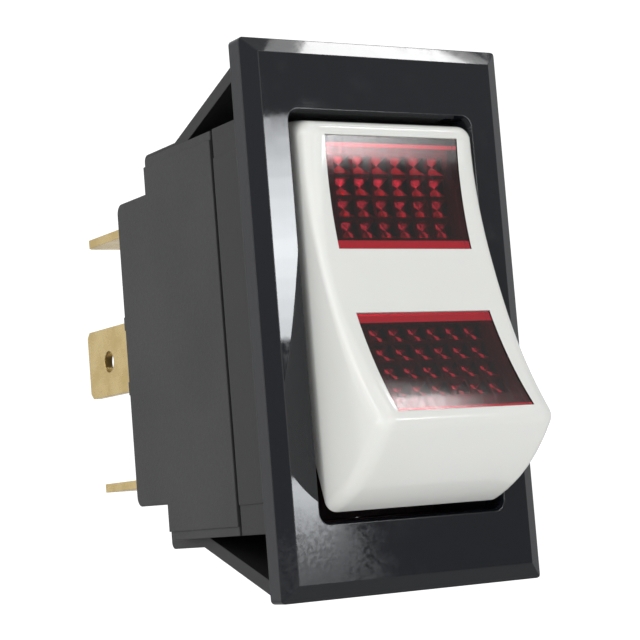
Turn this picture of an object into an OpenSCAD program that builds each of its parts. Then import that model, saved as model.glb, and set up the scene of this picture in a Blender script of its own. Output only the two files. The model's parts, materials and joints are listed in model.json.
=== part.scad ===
// Panel rocker switch: two poles, two throws, with two lit windows in a paddle rocker.
// Millimetres. X runs across the switch, Y from its front to its back, Z up its long side.
// The origin is the centre of the panel's cut-out, in the plane of the bezel's back face.

/* [Bezel] */
// Width of the bezel across X
bezel_w = 25.2; // [24.4:0.1:28]
// Height of the bezel along Z
bezel_h = 45.0; // [44.8:0.1:50]
// Depth of the bezel's plain side, behind its bevel
bezel_side_d = 1.6; // [1.2:0.1:2.4]
// Width of the bevel round the bezel's face
bevel_w = 1.3; // [0.8:0.1:1.5]
// Depth of the bevel
bevel_d = 0.8; // [0.4:0.1:1.2]
// Radius of the bezel's outer corners
bezel_corner_r = 0.4; // [0.2:0.1:1.0]
// Radius of the opening's corners
opening_corner_r = 0.8; // [0.4:0.1:1.2]
// How far the opening flares at the bezel's face
opening_flare = 0.2; // [0.1:0.05:0.3]

/* [Frame] */
// Width of the body that goes through the panel
body_w = 20.8; // [20.4:0.1:21.0]
// Height of the body that goes through the panel
body_h = 34.0; // [33.4:0.1:34.4]
// Depth of the frame's walls behind the panel seat
frame_d = 7.75; // [7.6:0.05:8.6]
// Thickness of the frame's side walls
frame_side_t = 1.6; // [1.5:0.1:1.9]
// Thickness of the frame's end walls
frame_end_t = 0.55; // [0.5:0.05:0.7]
// Thickness of the straps that run back from the end walls
strap_t = 0.7; // [0.6:0.05:0.8]
// Height of the faint pad on each side wall
pad_h = 29.0; // [20:1:32]
// How far the pad stands proud
pad_t = 0.1; // [0.05:0.05:0.15]
// Width of the straps and of the wings
strap_w = 18.0; // [15:0.2:18.6]
// How far the strap's hook reaches over the base's back face
hook_reach = 1.0; // [0.6:0.1:1.3]
// Length of the hook behind the base's back face
hook_d = 2.35; // [1.6:0.05:2.8]
// How far the block at the wing's root stands above the strap
root_rise = 0.8; // [0.5:0.1:1.1]
// Length of the block at the wing's root
root_d = 6.1; // [5:0.1:7]
// Radius of the root block's back corner
root_r = 0.6; // [0.3:0.1:0.8]
// Angle at which a wing springs out from the body
wing_angle = 21.2; // [18:0.2:21.6]
// Length of a wing
wing_len = 13.4; // [12:0.1:13.6]
// Thickness of a wing
wing_t = 1.15; // [0.9:0.05:1.3]
// Length of the step at a wing's free end
wing_step = 1.0; // [0.6:0.1:1.6]

/* [Base] */
// Depth of the groove between frame and base, which the plate fills
groove_d = 0.65; // [0.5:0.05:0.8]
// Depth of the base's wide part
wide_d = 12.5; // [12:0.1:13]
// Depth of the base's narrow part
narrow_d = 5.9; // [5.5:0.1:7]
// Height of the base's narrow part
narrow_h = 27.6; // [27.2:0.1:28]
// Radius of the narrow part's back corners
narrow_r = 0.9; // [0.4:0.1:1.2]
// Thickness of the base's walls
base_wall = 1.15; // [1.0:0.05:1.2]
// Thickness of the base's floor, which holds the terminals
floor_t = 1.5; // [1.2:0.1:2.0]
// Thickness of the wall between the two poles
partition_t = 1.4; // [1.0:0.1:1.6]
// Depth of the moulded keys that stand beside the common tabs
key_d = 1.0; // [0.5:0.1:1.5]
// Inset of the base's edge strips from its side faces
strip_inset = 0.12; // [0.05:0.01:0.2]
// Inset of the plate's edge from the body's side
plate_inset = 0.5; // [0.3:0.05:0.7]

/* [Rocker] */
// Distance of the rocker's pivot behind the panel seat
pivot_y = 2.0; // [1.8:0.05:2.2]
// Angle of the rocker from level at each end of its travel
rocker_tilt = 17.7; // [15:0.1:18]
// Radius of the rocker's hollow face
face_r = 33.0; // [30:0.5:38]
// Distance of the face's lowest point in front of the pivot
face_rise = 7.5; // [7.2:0.1:8]
// Thickness of the cap's face
face_t = 2.1; // [1.9:0.1:2.3]
// Thickness of the cap's other walls
cap_wall = 1.3; // [1.1:0.1:1.4]
// Radius of the cap's outer edges
edge_r = 0.8; // [0.4:0.1:1.0]
// How far the cap's skirt reaches behind the pivot
skirt_d = 0.6; // [0.4:0.1:0.8]
// Radius of the carrier's trunnions
trunnion_r = 1.5; // [1.2:0.1:1.7]
// Length of a trunnion inside the frame's bore
trunnion_l = 0.9; // [0.7:0.05:1.0]
// Thickness of the carrier's cheeks
cheek_t = 1.25; // [1.0:0.05:1.4]
// Height of the bridge that carries the plungers
bridge_h = 4.6; // [4.4:0.1:5]
// How far the carrier's cheeks reach in front of the pivot
cheek_front = 3.5; // [3:0.1:4]
// Thickness of the cross rails at the carrier's ends
rail_h = 1.8; // [1.2:0.1:2.4]

/* [Windows] */
// Number of pyramids across a window
pyramid_columns = 6; // [4:1:6]
// Number of pyramids up a window
pyramid_rows = 4; // [3:1:4]
// Pitch of the pyramids
pyramid_pitch = 1.83; // [1.7:0.01:1.85]
// Height of a pyramid
pyramid_h = 0.75; // [0.4:0.05:0.9]
// Width of the ledge that a lens rests on at its sides and outer end
ledge_w = 0.25; // [0.2:0.05:0.4]
// Width of the ledge at a lens's end nearest the rocker's middle
inner_ledge_w = 0.7; // [0.4:0.05:0.7]
// Plain margin of a lens round its pyramids
lens_margin = 0.95; // [0.9:0.01:0.95]
// How far the pyramids stand off the lens's middle, towards the top
pyramid_shift = 0.2; // [0:0.05:0.2]
// Thickness of a lens
lens_t = 1.2; // [1.0:0.05:1.4]
// How far a lens lies under the cap's face
lens_recess = 0.1; // [0.05:0.05:0.2]
// Distance of a window's middle from the rocker's middle
window_mid = 7.4; // [7.3:0.05:7.45]

/* [Lamps] */
// Radius of a lamp's glass
lamp_r = 2.1; // [1.5:0.1:2.2]
// Length of a lamp
lamp_l = 6.6; // [5:0.1:7]
// Distance of the lamps from the middle
lamp_z = 7.5; // [7.3:0.1:7.8]
// Radius of a lead wire
lead_r = 0.25; // [0.2:0.01:0.3]
// Distance of a lead from the lamp's middle
lead_x = 1.3; // [1.2:0.05:1.4]
// Radius of a resistor's body
resistor_r = 0.9; // [0.7:0.05:0.95]
// Length of a resistor's body
resistor_l = 4.4; // [3:0.1:4.6]
// Distance of a resistor from the middle across X
resistor_x = 4.4; // [4.2:0.05:4.5]

/* [Contacts] */
// Distance of each pole's middle from the middle of the switch
pole_x = 5.2; // [5.1:0.05:5.3]
// Distance from the rocker's pivot back to the bars' pivots
bar_drop = 16.6; // [16.4:0.1:16.8]
// Angle of a contact bar from level at each end of its travel
bar_tilt = 5.0; // [4:0.1:5.4]
// Angle at which a bar's arms rise from its middle
bar_rise = 12.0; // [11.4:0.1:12.6]
// Length of each arm of a bar
arm_l = 10.8; // [10.6:0.1:11]
// Width of a bar
bar_w = 4.0; // [3.4:0.1:4.2]
// Thickness of a bar
bar_t = 0.8; // [0.6:0.05:0.85]
// Inset of a bar's hub from the bar's edges
hub_inset = 0.2; // [0.1:0.05:0.4]
// Radius of the ridge that a bar rocks on
ridge_r = 0.9; // [0.8:0.05:1.0]
// Distance of a bar's silver tips along its arms
tip_s = 9.3; // [9:0.1:9.4]
// Radius of the silver heads
silver_r = 1.3; // [1.0:0.05:1.35]
// Height of the silver heads
silver_h = 0.6; // [0.4:0.05:0.7]
// Radius of the silver rivets' shanks
shank_r = 0.7; // [0.5:0.05:0.8]
// Radius of the silver heads' domed faces
dome_r = 6.0; // [5:0.5:9]

/* [Plungers] */
// Radius of a plunger
plunger_r = 1.15; // [1.0:0.05:1.2]
// How far a plunger can be pushed in
plunger_in = 0.6; // [0.4:0.05:0.8]
// Wall of the sleeve round a plunger
sleeve_wall = 0.7; // [0.5:0.05:0.75]
// Distance of a sleeve's mouth behind the pivot
sleeve_d = 5.0; // [4:0.1:5.1]
// Distance of a sleeve's blind end in front of the pivot
sleeve_end = 3.6; // [3:0.1:4]
// Distance of a plunger's inner end behind the pivot
plunger_top = 2.0; // [1.6:0.1:2.4]
// Radius of the spring's wire
spring_wire_r = 0.14; // [0.1:0.01:0.18]
// Number of turns of the spring
spring_turns = 6; // [4:1:7]

/* [Terminals] */
// Width of a terminal's tab
tab_w = 6.35; // [6.2:0.05:6.35]
// Thickness of a terminal
tab_t = 0.8; // [0.75:0.01:0.82]
// Length of a tab behind the base
tab_l = 10.0; // [8:0.1:11]
// Radius of the hole in a tab
tab_hole_r = 1.0; // [0.8:0.05:1.0]
// Distance of the hole from the tab's end
tab_hole_back = 4.4; // [3.4:0.1:4.5]
// Size of the chamfers at a tab's end
tab_chamfer = 0.5; // [0.3:0.1:1.2]
// Distance of the throw tabs from the middle along Z
throw_z = 11.7; // [11.6:0.05:11.8]
// Distance of the common tab from the middle across X
common_x = 9.2; // [9.15:0.05:9.2]

/* [Fits] */
// Gap between the rocker and the frame on each side
side_gap = 0.15; // [0.12:0.01:0.3]
// Gap between the rocker and the frame at each end
end_gap = 0.15; // [0.12:0.01:0.3]
// Gap round the plungers in the slots of the insulator
slot_gap = 0.3; // [0.2:0.05:0.4]
// Radial running clearance of the trunnions, ridges and plungers
running_fit = 0.05; // [0.03:0.01:0.08]
// Clearance of pieces that are pushed or dropped into place
seat_fit = 0.05; // [0.03:0.01:0.08]
// Radial clearance of the silver shanks
shank_fit = 0.02; // [0.01:0.01:0.04]
// Gap left between pieces that only touch, such as two silver tips
touch_gap = 0.06; // [0.04:0.01:0.1]

/* [Hidden] */
$fn = 64;
cut = 1; // overshoot of a cutting shape past the face that it opens

// Frame and rocker
face_y = -(bezel_side_d + bevel_d);
inner_w = body_w - 2 * frame_side_t;
inner_h = body_h - 2 * frame_end_t;
rocker_w = inner_w - 2 * side_gap;
sweep_r = inner_h / 2 - end_gap;
face_axis_y = -(face_rise + face_r);
tip_y = ((face_r + edge_r) ^ 2 - (sweep_r - edge_r) ^ 2 - face_axis_y ^ 2) / (-2 * face_axis_y);
tip_z = sqrt((sweep_r - edge_r) ^ 2 - tip_y ^ 2);
bore_r = trunnion_r + running_fit;

// Base
base_y = frame_d + groove_d;
step_y = base_y + wide_d;
back_y = step_y + narrow_d;
floor_y = back_y - floor_t;
track_z = body_h / 2 - strap_t - seat_fit;
cavity_w = body_w - 2 * base_wall;
wide_cavity_h = 2 * (track_z - base_wall);
narrow_cavity_h = narrow_h - 2 * base_wall;
plate_w = body_w - 2 * plate_inset;

// Windows
window_w = pyramid_columns * pyramid_pitch + 2 * lens_margin;
window_h = pyramid_rows * pyramid_pitch + 2 * lens_margin;
light_w = window_w - 2 * ledge_w;
window_in_z = window_mid - window_h / 2;
window_out_z = window_mid + window_h / 2;
lens_back_r = face_r + lens_recess + lens_t;

// Contact bar, in its own frame with its pivot at the origin
bar_y = pivot_y + bar_drop;
hub_r = ridge_r + running_fit + bar_t;
vertex = (hub_r + 0.1) / cos(bar_rise);
hub_back = (ridge_r - tab_t / 2 + seat_fit - 2 * touch_gap - hub_r * sin(bar_tilt)) / cos(bar_tilt);
function arm_point(s, t) = [-vertex - s * sin(bar_rise) + t * cos(bar_rise), s * cos(bar_rise) + t * sin(bar_rise)];
function flipped(p) = [p[0], -p[1]];
function turned(p, a) = [p[0] * cos(a) - p[1] * sin(a), p[0] * sin(a) + p[1] * cos(a)];

// Where the pressed tip's dome reaches furthest back, and so where the fixed silver stands
dome_centre = turned(arm_point(tip_s, bar_t + silver_h - dome_r), -bar_tilt);
contact_z = dome_centre[1];
contact_y = bar_y + dome_centre[0] + dome_r + touch_gap;
throw_y = contact_y + silver_h;
throw_back_z = throw_z + tab_t / 2;
throw_x = common_x - tab_t / 2 + seat_fit - tab_w / 2 + 0.15;
flange_y = bar_y + ridge_r - tab_t / 2 + seat_fit;
tab_end_y = back_y + tab_l;

// Plunger: its round end clears an arm of the bar at the angle where the two come nearest
nearest = bar_rise / (1 + bar_tilt / rocker_tilt);
plunger_reach = bar_drop * cos(nearest) - vertex * cos(bar_rise) - plunger_r - touch_gap;
sleeve_r = plunger_r + running_fit + sleeve_wall;
spring_r = plunger_r - spring_wire_r - 0.1;

// ---- shared shapes ----

// Outline in Y and Z, drawn out across X about the middle
module across(w) {
    rotate([90, 0, 90]) linear_extrude(w, center = true) children();
}

// Outline in X and Z, drawn from one depth to another
module deep(y0, y1) {
    translate([0, y1, 0]) rotate([90, 0, 0]) linear_extrude(y1 - y0) children();
}

// Flat rectangle with round corners
module rounded(w, h, r) {
    square([w - 2 * r, h], center = true);
    square([w, h - 2 * r], center = true);
    for (sx = [-1, 1], sz = [-1, 1])
        translate([sx * (w / 2 - r), sz * (h / 2 - r)]) circle(r);
}

// Round-cornered frustum with its wide end at depth y0, narrower all round by grow at y1
module flare(w, h, r, grow, y0, y1) {
    across(w - 2 * r)
        polygon([[y0, -h / 2 - grow], [y0, h / 2 + grow], [y1, h / 2], [y1, -h / 2]]);
    linear_extrude(h - 2 * r, center = true)
        polygon([[-w / 2 - grow, y0], [w / 2 + grow, y0], [w / 2, y1], [-w / 2, y1]]);
    for (sx = [-1, 1], sz = [-1, 1]) translate([sx * (w / 2 - r), y0, sz * (h / 2 - r)])
        rotate([-90, 0, 0]) cylinder(h = y1 - y0, r1 = r + grow, r2 = r);
}

// A copy above the middle and its mirror image below
module both_ends() {
    children();
    mirror([0, 0, 1]) children();
}

// A copy to the right of the middle and its mirror image to the left
module both_sides() {
    children();
    mirror([1, 0, 0]) children();
}

// Puts a piece drawn about the rocker's pivot into its resting tilt, top pressed in
module on_rocker() {
    translate([0, pivot_y, 0]) rotate([-rocker_tilt, 0, 0]) children();
}

// Puts a piece drawn about a bar's pivot into its resting tilt, lower arm pressed back
module on_bar(side) {
    translate([side * pole_x, bar_y, 0]) rotate([bar_tilt, 0, 0]) children();
}

// ---- frame and base ----

// Wing in Y and Z: a straight spring leaf with a stepped free end
module wing_outline() {
    translate([frame_d + (step_y - frame_d) + seat_fit + hook_d - root_d, body_h / 2 + root_rise])
        rotate(180 - wing_angle) {
            translate([-cut, wing_t / 2]) square([wing_len + cut, wing_t / 2]);
            translate([-cut, 0]) square([wing_len - wing_step + cut, wing_t]);
        }
}

// Strap, hook and root block in Y and Z
module strap_outline() {
    hook_y = step_y + seat_fit;
    end_y = hook_y + hook_d;
    low_z = body_h / 2 - strap_t;
    top_z = body_h / 2 + root_rise;
    translate([frame_d - cut, low_z]) square([end_y - frame_d + cut, strap_t]);
    translate([hook_y, low_z - hook_reach]) square([hook_d, hook_reach + strap_t]);
    translate([end_y - root_d, low_z]) square([root_d - root_r, top_z - low_z]);
    translate([end_y - root_d, low_z]) square([root_d, top_z - low_z - root_r]);
    translate([end_y - root_r, top_z - root_r]) circle(root_r);
}

// Section of the bezel, its depth along the first axis and its full size along the second
module bevelled(size) {
    polygon([
        [face_y, bevel_w - size / 2], [face_y, size / 2 - bevel_w], [-bezel_side_d, size / 2],
        [0, size / 2], [0, -size / 2], [-bezel_side_d, -size / 2]]);
}

module bezel_frame() color("#16171b") {
    difference() {
        union() {
            intersection() {
                across(bezel_w + cut) bevelled(bezel_h);
                linear_extrude(bezel_h + cut, center = true) mirror([1, -1]) bevelled(bezel_w);
                deep(face_y - cut, cut) rounded(bezel_w, bezel_h, bezel_corner_r);
            }
            deep(-bezel_side_d, frame_d) square([body_w, body_h], center = true);
            deep(-bezel_side_d, frame_d) square([body_w + 2 * pad_t, pad_h], center = true);
        }
        deep(face_y - cut, frame_d + cut) rounded(inner_w, inner_h, opening_corner_r);
        flare(inner_w, inner_h, opening_corner_r, opening_flare, face_y, face_y + 2 * opening_flare);
        translate([0, pivot_y, 0]) rotate([0, 90, 0])
            cylinder(h = inner_w + 2 * (trunnion_l + running_fit), r = bore_r, center = true);
    }
    both_ends() across(strap_w) {
        strap_outline();
        wing_outline();
    }
}

// Slots for the terminals' blades, through the floor and the keys behind it
module blade_slots() {
    slot_d = 2 * (floor_t + key_d) + cut;
    both_sides() {
        both_ends() translate([throw_x, floor_y, throw_z])
            cube([tab_w + 2 * seat_fit, slot_d, tab_t + 2 * seat_fit], center = true);
        translate([common_x, floor_y, 0])
            cube([tab_t + 2 * seat_fit, slot_d, tab_w + 2 * seat_fit], center = true);
    }
}

// Hollow of one pole's chamber, on the right
module chamber() {
    chamber_w = (cavity_w - partition_t) / 2;
    translate([partition_t / 2 + chamber_w / 2, 0, 0]) {
        deep(base_y - cut, step_y - base_wall) square([chamber_w, wide_cavity_h], center = true);
        deep(base_y, floor_y) square([chamber_w, narrow_cavity_h], center = true);
    }
    pocket_d = common_x + tab_t / 2 + seat_fit;
    deep(flange_y - seat_fit, floor_y)
        translate([pole_x, -tab_w / 2 - seat_fit]) square([pocket_d - pole_x, tab_w + 2 * seat_fit]);
}

// Moulded posts that the terminals lie on, on the right
module posts() {
    post_top_z = throw_z - tab_t / 2 - seat_fit;
    post_x0 = throw_x - tab_w / 2;
    post_w = cavity_w / 2 - post_x0;
    both_ends() deep(throw_y + tab_t + seat_fit, floor_y + cut / 2)
        translate([post_x0, contact_z - silver_r]) square([post_w, post_top_z - contact_z + silver_r]);
    common_w = common_x - tab_t / 2 - seat_fit - (pole_x - bar_w / 2);
    deep(flange_y + tab_t + seat_fit, floor_y + cut / 2)
        translate([pole_x - bar_w / 2, -bar_w / 2]) square([common_w, bar_w]);
}

module base_housing() color("#1d1f22") {
    difference() {
        union() {
            deep(base_y, step_y) square([body_w, 2 * track_z], center = true);
            deep(base_y, step_y - strap_t / 2)
                square([body_w - 2 * strip_inset, body_h], center = true);
            across(body_w) {
                translate([base_y, -narrow_h / 2]) square([back_y - narrow_r - base_y, narrow_h]);
                translate([base_y, narrow_r - narrow_h / 2])
                    square([back_y - base_y, narrow_h - 2 * narrow_r]);
                for (s = [-1, 1])
                    translate([back_y - narrow_r, s * (narrow_h / 2 - narrow_r)]) circle(narrow_r);
            }
            both_sides() both_ends() deep(back_y - cut, back_y + key_d)
                translate([common_x - tab_t / 2, tab_w / 2 - tab_t]) square([1.5 * tab_t, 1.5 * tab_t]);
        }
        both_ends() translate([0, 0, track_z + body_h / 4]) deep(base_y - cut, step_y + cut)
            square([strap_w + 2 * seat_fit, body_h / 2], center = true);
        both_sides() chamber();
        blade_slots();
    }
    difference() {
        both_sides() posts();
        blade_slots();
    }
}

// Thin sheet between the lamp chamber and the contacts, slotted for the plungers
module insulator_plate() color("#0c0c0d") {
    slot_half = (base_y - pivot_y) * tan(rocker_tilt) + plunger_r / cos(rocker_tilt) + slot_gap;
    difference() {
        deep(frame_d, base_y) square([plate_w, 2 * track_z - 2 * seat_fit], center = true);
        for (s = [-1, 1]) {
            deep(frame_d - cut, base_y + cut) translate([s * pole_x, 0])
                rounded(2 * (plunger_r + slot_gap), 2 * slot_half, plunger_r);
            for (x = [-lead_x, resistor_x])
                translate([x, 0, x < 0 ? s * lamp_z : s * resistor_lead_z]) rotate([-90, 0, 0])
                    cylinder(h = base_y + cut, r = lead_r + seat_fit);
        }
    }
}

// ---- rocker ----

// Rocker's outline in Y and Z about its pivot, grown inwards by a wall
module rocker_outline(face_in, end_in, back) {
    difference() {
        intersection() {
            circle(sweep_r - end_in, $fn = 128);
            translate([-2 * sweep_r + back, -sweep_r]) square(2 * sweep_r);
        }
        translate([face_axis_y, 0]) circle(face_r + face_in, $fn = 192);
    }
}

// Half section of a body of revolution about X with one rounded rim
module rounded_rim(r) {
    half = rocker_w / 2;
    square([r - edge_r, half]);
    square([r, half - edge_r]);
    translate([r - edge_r, half - edge_r]) circle(edge_r, $fn = 32);
}

// Solid envelope of the rocker, all its outer edges rounded
module rocker_envelope() {
    t_end = [tip_y, tip_z] * sweep_r / (sweep_r - edge_r);
    t_face = [face_axis_y, 0] + [tip_y - face_axis_y, tip_z] * face_r / (face_r + edge_r);
    half = rocker_w / 2;
    difference() {
        intersection() {
            rotate([0, 90, 0]) rotate_extrude($fn = 128) both_halves() rounded_rim(sweep_r);
            translate([0, face_axis_y, 0]) rotate([0, 90, 0]) rotate_extrude($fn = 192) difference() {
                translate([face_r, -half]) square([-face_axis_y + sweep_r, rocker_w]);
                for (s = [-1, 1]) translate([face_r, s * half]) difference() {
                    square(2 * edge_r, center = true);
                    translate([edge_r, -s * edge_r]) circle(edge_r, $fn = 32);
                    translate([edge_r, -2 * edge_r]) square(4 * edge_r);
                    translate([-edge_r, s > 0 ? -3 * edge_r : edge_r]) square([4 * edge_r, 2 * edge_r]);
                }
            }
            across(rocker_w) translate([skirt_d - 2 * sweep_r, -sweep_r]) square(2 * sweep_r);
        }
        both_ends() across(rocker_w + cut)
            polygon([t_end, t_face, t_face + [-2 * edge_r, 2 * edge_r], t_end + [-2 * edge_r, 2 * edge_r]]);
    }
    both_ends() translate([0, tip_y, tip_z]) {
        rotate([0, 90, 0]) cylinder(h = rocker_w - 2 * edge_r, r = edge_r, center = true, $fn = 32);
        for (s = [-1, 1]) translate([s * (half - edge_r), 0, 0]) sphere(edge_r, $fn = 32);
    }
}

// Half of a section about X and its mirror image
module both_halves() {
    children();
    mirror([0, 1]) children();
}

// Part of the ring behind the rocker's face, between two radii, that a window spans
module window_slab(r0, r1, w, z0, z1) {
    across(w) intersection() {
        difference() {
            translate([face_axis_y, 0]) circle(r1, $fn = 192);
            translate([face_axis_y, 0]) circle(r0, $fn = 192);
        }
        translate([-face_r, z0]) square([face_r, z1 - z0]);
    }
}

module rocker_cap() color("#e6e6e0") on_rocker() difference() {
    rocker_envelope();
    across(rocker_w - 2 * cap_wall) rocker_outline(face_t, cap_wall, skirt_d + cut);
    both_ends() {
        window_slab(face_r - cut, lens_back_r, window_w, window_in_z, window_out_z);
        window_slab(face_r - cut, face_r + face_t + cut, light_w,
                    window_in_z + inner_ledge_w, window_out_z - ledge_w);
    }
    // slots that let the trunnions out through the skirt
    across(rocker_w + cut) {
        circle(bore_r);
        translate([0, -bore_r]) square([skirt_d + cut, 2 * bore_r]);
    }
}

// Carrier: two cheeks with bosses, tied by the bridge and by a cross rail at each end
module rocker_carrier() color("#1b1b1d") on_rocker() {
    cheek_x = rocker_w / 2 - cap_wall - seat_fit;
    end_z = sqrt((sweep_r - cap_wall - seat_fit) ^ 2 - cheek_front ^ 2);
    bridge_y = -(face_rise - face_t - seat_fit);
    difference() {
        union() {
            both_sides() translate([cheek_x - cheek_t / 2, 0, 0]) across(cheek_t) {
                translate([-cheek_front, -end_z]) square([cheek_front + skirt_d - cut / 4, 2 * end_z]);
                circle(trunnion_r + cheek_t);
            }
            deep(bridge_y, skirt_d + sleeve_wall) square([2 * cheek_x - cheek_t, bridge_h], center = true);
            both_ends() deep(-cheek_front / 2, skirt_d - cut / 2)
                translate([cheek_t / 2 - cheek_x, end_z - rail_h - cut / 10])
                    square([2 * cheek_x - cheek_t, rail_h]);
            both_sides() {
                translate([pole_x, 0, 0]) rotate([-90, 0, 0]) cylinder(h = sleeve_d, r = sleeve_r);
                translate([cheek_x - cheek_t / 2, 0, 0]) rotate([0, 90, 0])
                    cylinder(h = inner_w / 2 + trunnion_l - cheek_x + cheek_t / 2, r = trunnion_r);
            }
        }
        both_sides() translate([pole_x, -sleeve_end, 0]) rotate([-90, 0, 0])
            cylinder(h = sleeve_end + sleeve_d + cut, r = plunger_r + running_fit);
    }
}

// A red window: a curved plate with rows of pyramids on its back
module lens(shift) color([0.65, 0.04, 0.08, 0.75]) {
    window_slab(face_r + lens_recess, lens_back_r - seat_fit / 2, window_w - 2 * seat_fit,
                window_in_z + seat_fit, window_out_z - seat_fit);
    mid_angle = asin((window_mid + shift) / lens_back_r);
    row_angle = pyramid_pitch / lens_back_r * 180 / PI;
    for (row = [0:pyramid_rows - 1], column = [0:pyramid_columns - 1]) {
        angle = mid_angle + (row - (pyramid_rows - 1) / 2) * row_angle;
        x = (column - (pyramid_columns - 1) / 2) * pyramid_pitch;
        translate([0, face_axis_y, 0]) rotate([angle, 0, 0])
            translate([x, lens_back_r - 3 * seat_fit, 0]) rotate([-90, 0, 0])
                linear_extrude(pyramid_h + 3 * seat_fit, scale = 0)
                    square(pyramid_pitch - 2 * seat_fit, center = true);
    }
}

module upper_lens() on_rocker() lens(pyramid_shift);

module lower_lens() on_rocker() mirror([0, 0, 1]) lens(-pyramid_shift);

// ---- lamps ----

resistor_lead_z = throw_back_z - tab_t / 2;
resistor_z = resistor_lead_z - 0.8 - resistor_l / 2;

// Round wire along a list of points
module wire(points, r) {
    for (i = [0:len(points) - 2]) {
        run = points[i + 1] - points[i];
        flat = norm([run[0], run[1]]);
        translate(points[i]) rotate([0, atan2(flat, run[2]), atan2(run[1], run[0])])
            cylinder(h = norm(run), r = r, $fn = 16);
        translate(points[i + 1]) sphere(r, $fn = 16);
    }
}

// Glass capsule standing on the plate
module lamp() color([0.9, 0.75, 0.6, 0.6])
    translate([0, frame_d, lamp_z]) rotate([90, 0, 0]) {
        cylinder(h = lamp_l - lamp_r, r = lamp_r);
        translate([0, 0, lamp_l - lamp_r]) sphere(lamp_r);
    }

// Resistor lying beside the lamp, its lead going back to the right throw terminal
module resistor() color("#b9a074") {
    y = frame_d - resistor_r;
    lead_top = resistor_z + resistor_l / 2;
    translate([resistor_x, y, resistor_z]) cylinder(h = resistor_l, r = resistor_r, center = true);
    wire([[resistor_x, y, lead_top - lead_r], [resistor_x, y, resistor_lead_z],
          [resistor_x, throw_y - lead_r, resistor_lead_z]], lead_r);
    wire([[resistor_x, y, resistor_z - resistor_l / 2 + lead_r],
          [resistor_x, y, resistor_z - resistor_l / 2 - lead_r],
          [lamp_r + lead_r, y, resistor_z - resistor_l / 2 - lead_r]], lead_r);
}

// Lamp's other wire, through the plate and round the bar's end to the left throw terminal
module lamp_lead() color("#c9c9c9") {
    y = base_y + 1;
    wire([[-lead_x, frame_d + touch_gap, lamp_z], [-lead_x, y, lamp_z],
          [-lead_x, y, resistor_lead_z], [-lead_x, throw_y - lead_r, resistor_lead_z],
          [-(throw_x - tab_w / 2 + 2 * lead_r), throw_y - lead_r, resistor_lead_z]], lead_r);
}

module upper_lamp() lamp();

module lower_lamp() mirror([0, 0, 1]) lamp();

module upper_resistor() resistor();

module lower_resistor() mirror([0, 0, 1]) resistor();

module upper_lamp_lead() lamp_lead();

module lower_lamp_lead() mirror([0, 0, 1]) lamp_lead();

// ---- terminals and contacts, drawn on the right and mirrored to the left ----

// Blade outline: a tab with a chamfered end and a round hole, drawn from depth y0
module blade_outline(y0) {
    half = tab_w / 2;
    tip = tab_end_y - tab_chamfer;
    difference() {
        polygon([[-half, y0], [half, y0], [half, tip], [half - tab_chamfer, tab_end_y],
                 [tab_chamfer - half, tab_end_y], [-half, tip]]);
        translate([0, tab_end_y - tab_hole_back]) circle(tab_hole_r, $fn = 48);
    }
}

module throw_terminal() color("#c8a858") {
    translate([throw_x, 0, throw_z - tab_t / 2]) linear_extrude(tab_t) blade_outline(throw_y);
    difference() {
        deep(throw_y, throw_y + tab_t)
            translate([throw_x - tab_w / 2, contact_z - silver_r])
                square([tab_w, throw_back_z - contact_z + silver_r]);
        translate([pole_x, throw_y - cut, contact_z]) rotate([-90, 0, 0])
            cylinder(h = tab_t + 2 * cut, r = shank_r + shank_fit, $fn = 32);
    }
}

module common_terminal() color("#c8a858") {
    ear_gap = bar_w / 2 + seat_fit;
    ear_t = tab_t / 2;
    translate([common_x - tab_t / 2, 0, 0]) rotate([0, 90, 0])
        linear_extrude(tab_t) blade_outline(flange_y);
    flange_x = pole_x - ear_gap - ear_t;
    deep(flange_y, flange_y + tab_t)
        translate([flange_x, -bar_w / 2]) square([common_x + tab_t / 2 - flange_x, bar_w]);
    translate([pole_x, bar_y, 0]) rotate([0, 90, 0])
        cylinder(h = 2 * ear_gap + ear_t, r = ridge_r, center = true, $fn = 48);
    for (s = [-1, 1]) deep(bar_y - ridge_r, flange_y + tab_t / 2)
        translate([pole_x + s * (ear_gap + ear_t / 2), 0])
            square([ear_t, 2 * ridge_r], center = true);
}

// Silver rivet: a domed head standing on z = 0 and a shank below it
module silver(shank_l) color("#d8d8d4") {
    intersection() {
        cylinder(h = silver_h, r = silver_r, $fn = 48);
        translate([0, 0, silver_h - dome_r]) sphere(dome_r, $fn = 192);
    }
    translate([0, 0, -shank_l]) cylinder(h = shank_l + silver_h / 2, r = shank_r, $fn = 32);
}

module fixed_contact() translate([pole_x, throw_y, contact_z]) rotate([90, 0, 0]) silver(tab_t);

// V-shaped bar with a half-round hub, a little narrower, that rocks on the ridge
module contact_bar(side) color("#c98f5e") on_bar(side) difference() {
    union() {
        across(bar_w) polygon([
            [-vertex, 0], arm_point(arm_l, 0), arm_point(arm_l, bar_t),
            [bar_t / cos(bar_rise) - vertex, 0],
            flipped(arm_point(arm_l, bar_t)), flipped(arm_point(arm_l, 0))]);
        across(bar_w - 2 * hub_inset) difference() {
            circle(hub_r);
            translate([hub_back, -hub_r - cut]) square([2 * hub_r, 2 * (hub_r + cut)]);
        }
    }
    across(bar_w + cut) circle(ridge_r + running_fit);
    for (s = [0, 1]) mirror([0, 0, s]) tip_place(0) translate([0, 0, -cut])
        cylinder(h = bar_t + 2 * cut, r = shank_r + shank_fit, $fn = 32);
}

// Puts a rivet drawn along +Z square to the bar's upper arm, t behind its front face
module tip_place(t) {
    p = arm_point(tip_s, t);
    translate([0, p[0], p[1]]) rotate([bar_rise - 90, 0, 0]) children();
}

module bar_tip(side, up) on_bar(side) mirror([0, 0, up ? 0 : 1]) tip_place(bar_t) silver(bar_t);

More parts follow.
